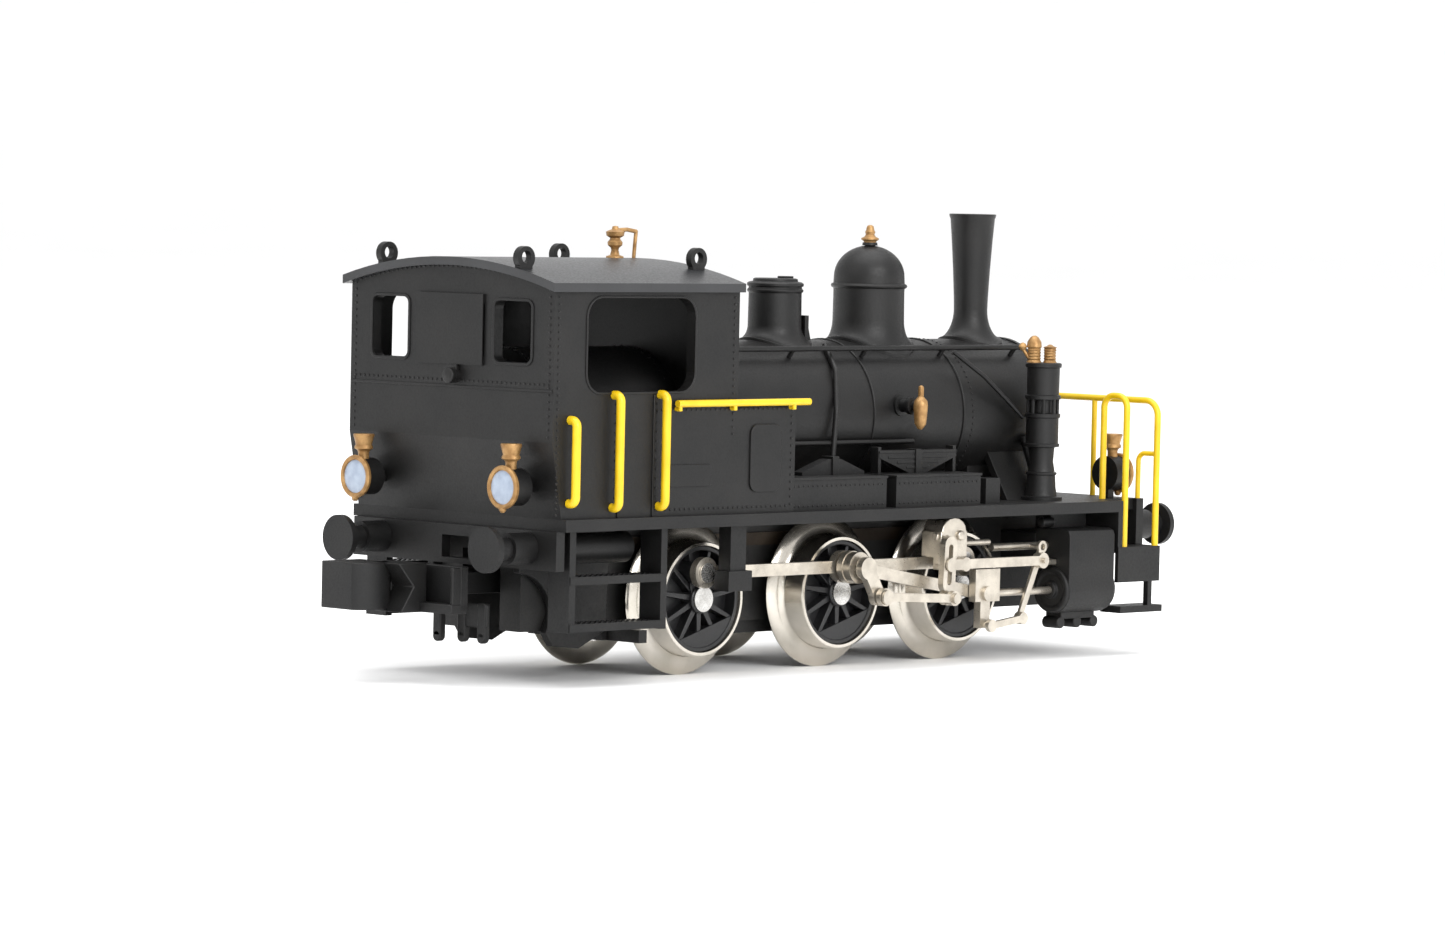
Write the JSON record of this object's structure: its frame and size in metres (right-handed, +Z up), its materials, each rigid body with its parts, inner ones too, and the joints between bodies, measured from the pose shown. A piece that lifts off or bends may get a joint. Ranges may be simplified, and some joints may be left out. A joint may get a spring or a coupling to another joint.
{
  "type": "model steam locomotive",
  "caption": "Small-scale model of a side-tank steam locomotive with coupled wheels, outside valve gear, boiler fittings, yellow handrails and a rear coupler.",
  "frame": {"origin": "on the surface that the wheel flanges stand on, under the middle of the overall length", "axes": "+X towards the chimney end, +Y to the locomotive's left, +Z up"},
  "size_m": [0.058, 0.0176, 0.0255],
  "materials": {
    "black_paint": "satin black paint on the body moulding",
    "black_plastic": "matt black moulded plastic",
    "brass": "bronze coloured fittings",
    "yellow_paint": "yellow painted wire",
    "lens_plastic": "bluish white lens",
    "nickel_silver": "nickel silver, lightly brushed",
    "steel": "bright turned steel",
    "cast_metal": "blackened die-cast metal"
  },
  "bodies": {
    "root": {"air_pump": "black_paint", "boiler": "black_paint", "boiler_handrails": "black_paint", "boiler_pipes": "black_paint", "buffer_beams": "black_paint", "buffers": "black_plastic", "cab_handrails": "yellow_paint", "cab_roof": "black_paint", "cab_shell": "black_paint", "chassis_frame": "cast_metal", "chimney": "black_paint", "clack_valves": "brass", "coupler_spring": "steel", "cylinders": "black_plastic", "footsteps": "black_plastic", "front_railings": "yellow_paint", "keeper_plate": "black_plastic", "lamp_bodies": "black_paint", "lamp_lenses": "lens_plastic", "lamp_rims": "brass", "lifting_eyes": "black_paint", "lubricators": "brass", "motion_brackets": "nickel_silver", "motor": "steel", "motor_cover": "black_paint", "pickup_strips": "brass", "radius_rods": "nickel_silver", "running_board": "black_plastic", "safety_valve": "brass", "sand_dome": "black_paint", "screws": "steel", "side_tanks": "black_paint", "smokebox_door": "black_paint", "steam_dome": "black_paint", "tool_boxes": "black_plastic", "whistle": "brass"},
    "middle_wheelset": {"middle_wheels": "nickel_silver", "middle_axle": "steel", "return_cranks": "nickel_silver"},
    "rear_wheelset": {"rear_wheels": "nickel_silver", "rear_axle": "steel"},
    "front_wheelset": {"front_wheels": "nickel_silver", "front_axle": "steel"},
    "worm_body": {"worm_shaft": "steel"},
    "idler_body": {"idler_gear": "black_plastic"},
    "rear_coupler": {"coupler_head": "black_plastic"},
    "coupling_rod_body_right": {"coupling_rod_right": "nickel_silver"},
    "main_rod_body_right": {"main_rod_right": "nickel_silver"},
    "eccentric_rod_body_right": {"eccentric_rod_right": "nickel_silver"},
    "crosshead_body_right": {"crosshead_right": "nickel_silver"},
    "expansion_link_body_right": {"expansion_link_right": "nickel_silver"},
    "combination_lever_body_right": {"combination_lever_right": "nickel_silver"},
    "valve_spindle_body_right": {"valve_spindle_right": "nickel_silver"},
    "coupling_rod_body_left": {"coupling_rod_left": "nickel_silver"},
    "main_rod_body_left": {"main_rod_left": "nickel_silver"},
    "eccentric_rod_body_left": {"eccentric_rod_left": "nickel_silver"},
    "crosshead_body_left": {"crosshead_left": "nickel_silver"},
    "expansion_link_body_left": {"expansion_link_left": "nickel_silver"},
    "combination_lever_body_left": {"combination_lever_left": "nickel_silver"},
    "valve_spindle_body_left": {"valve_spindle_left": "nickel_silver"}
  },
  "joints": [
    {"name": "drive_wheels_turn", "type": "hinge", "parent": "root", "child": "middle_wheelset", "pos_m": [0.00195, 0, 0.00425], "axis": [0, 1, 0], "continuous": true},
    {"name": "rear_wheels_turn", "type": "hinge", "parent": "root", "child": "rear_wheelset", "pos_m": [-0.009, 0, 0.00425], "axis": [0, 1, 0], "continuous": true},
    {"name": "front_wheels_turn", "type": "hinge", "parent": "root", "child": "front_wheelset", "pos_m": [0.01185, 0, 0.00425], "axis": [0, 1, 0], "continuous": true},
    {"name": "idler_gear_turn", "type": "hinge", "parent": "root", "child": "idler_body", "pos_m": [0.00195, 0, 0.00855], "axis": [0, 1, 0], "continuous": true},
    {"name": "worm_shaft_turn", "type": "hinge", "parent": "root", "child": "worm_body", "pos_m": [-0.01, 0, 0.0116], "axis": [1, 0, 0], "continuous": true},
    {"name": "coupler_swing", "type": "hinge", "parent": "root", "child": "rear_coupler", "pos_m": [-0.0189, 0, 0.00525], "axis": [0, 0, 1], "range_deg": [-6, 6], "stiffness_Nm_per_rad": 0.002},
    {"name": "coupling_rod_pivot_right", "type": "hinge", "parent": "middle_wheelset", "child": "coupling_rod_body_right", "pos_m": [0.0015, -0.0061, 0.00575], "axis": [0, 1, 0], "continuous": true},
    {"name": "main_rod_pivot_right", "type": "hinge", "parent": "middle_wheelset", "child": "main_rod_body_right", "pos_m": [0.0015, -0.00675, 0.00575], "axis": [0, 1, 0], "continuous": true},
    {"name": "eccentric_rod_pivot_right", "type": "hinge", "parent": "middle_wheelset", "child": "eccentric_rod_body_right", "pos_m": [0.00245, -0.0085, 0.00415], "axis": [0, 1, 0], "continuous": true},
    {"name": "crosshead_slide_right", "type": "slide", "parent": "root", "child": "crosshead_body_right", "axis": [1, 0, 0], "range_m": [-0.00097, 0.00216]},
    {"name": "combination_lever_swing_right", "type": "hinge", "parent": "root", "child": "combination_lever_body_right", "pos_m": [0.0162, -0.00763, 0.00575], "axis": [0, 1, 0], "range_deg": [-34.47, 15.48]},
    {"name": "valve_spindle_slide_right", "type": "slide", "parent": "root", "child": "valve_spindle_body_right", "axis": [1, 0, 0], "range_m": [-0.0004549, 0.0002064]},
    {"name": "expansion_link_swing_right", "type": "hinge", "parent": "root", "child": "expansion_link_body_right", "pos_m": [0.00825, -0.0079, 0.00575], "axis": [0, 1, 0], "range_deg": [-0.5, 33.3]},
    {"name": "coupling_rod_pivot_left", "type": "hinge", "parent": "middle_wheelset", "child": "coupling_rod_body_left", "pos_m": [0.00345, 0.0061, 0.0047], "axis": [0, 1, 0], "continuous": true},
    {"name": "main_rod_pivot_left", "type": "hinge", "parent": "middle_wheelset", "child": "main_rod_body_left", "pos_m": [0.00345, 0.00675, 0.0047], "axis": [0, 1, 0], "continuous": true},
    {"name": "eccentric_rod_pivot_left", "type": "hinge", "parent": "middle_wheelset", "child": "eccentric_rod_body_left", "pos_m": [0.00185, 0.0085, 0.00375], "axis": [0, 1, 0], "continuous": true},
    {"name": "crosshead_slide_left", "type": "slide", "parent": "root", "child": "crosshead_body_left", "axis": [1, 0, 0], "range_m": [-0.00304, 0.00009]},
    {"name": "combination_lever_swing_left", "type": "hinge", "parent": "root", "child": "combination_lever_body_left", "pos_m": [0.0162, 0.00763, 0.00575], "axis": [0, 1, 0], "range_deg": [-1.51, 48.45]},
    {"name": "valve_spindle_slide_left", "type": "slide", "parent": "root", "child": "valve_spindle_body_left", "axis": [1, 0, 0], "range_m": [-0.0000234, 0.0006379]},
    {"name": "expansion_link_swing_left", "type": "hinge", "parent": "root", "child": "expansion_link_body_left", "pos_m": [0.00825, 0.0079, 0.00575], "axis": [0, 1, 0], "range_deg": [-19.2, 14.4]}
  ],
  "couplings": [
    {"joint": "rear_wheels_turn", "follows": "drive_wheels_turn", "ratio": 1},
    {"joint": "front_wheels_turn", "follows": "drive_wheels_turn", "ratio": 1},
    {"joint": "idler_gear_turn", "follows": "drive_wheels_turn", "ratio": -1},
    {"joint": "worm_shaft_turn", "follows": "drive_wheels_turn", "ratio": 20},
    {"joint": "coupling_rod_pivot_right", "follows": "drive_wheels_turn", "ratio": -1},
    {"joint": "main_rod_pivot_right", "follows": "drive_wheels_turn", "ratio": -1},
    {"joint": "eccentric_rod_pivot_right", "follows": "drive_wheels_turn", "ratio": -1},
    {"joint": "combination_lever_swing_right", "follows": "crosshead_slide_right", "rad_per_m": -277.78},
    {"joint": "valve_spindle_slide_right", "follows": "crosshead_slide_right", "ratio": -0.20833},
    {"joint": "coupling_rod_pivot_left", "follows": "drive_wheels_turn", "ratio": -1},
    {"joint": "main_rod_pivot_left", "follows": "drive_wheels_turn", "ratio": -1},
    {"joint": "eccentric_rod_pivot_left", "follows": "drive_wheels_turn", "ratio": -1},
    {"joint": "combination_lever_swing_left", "follows": "crosshead_slide_left", "rad_per_m": -277.78},
    {"joint": "valve_spindle_slide_left", "follows": "crosshead_slide_left", "ratio": -0.20833}
  ]
}
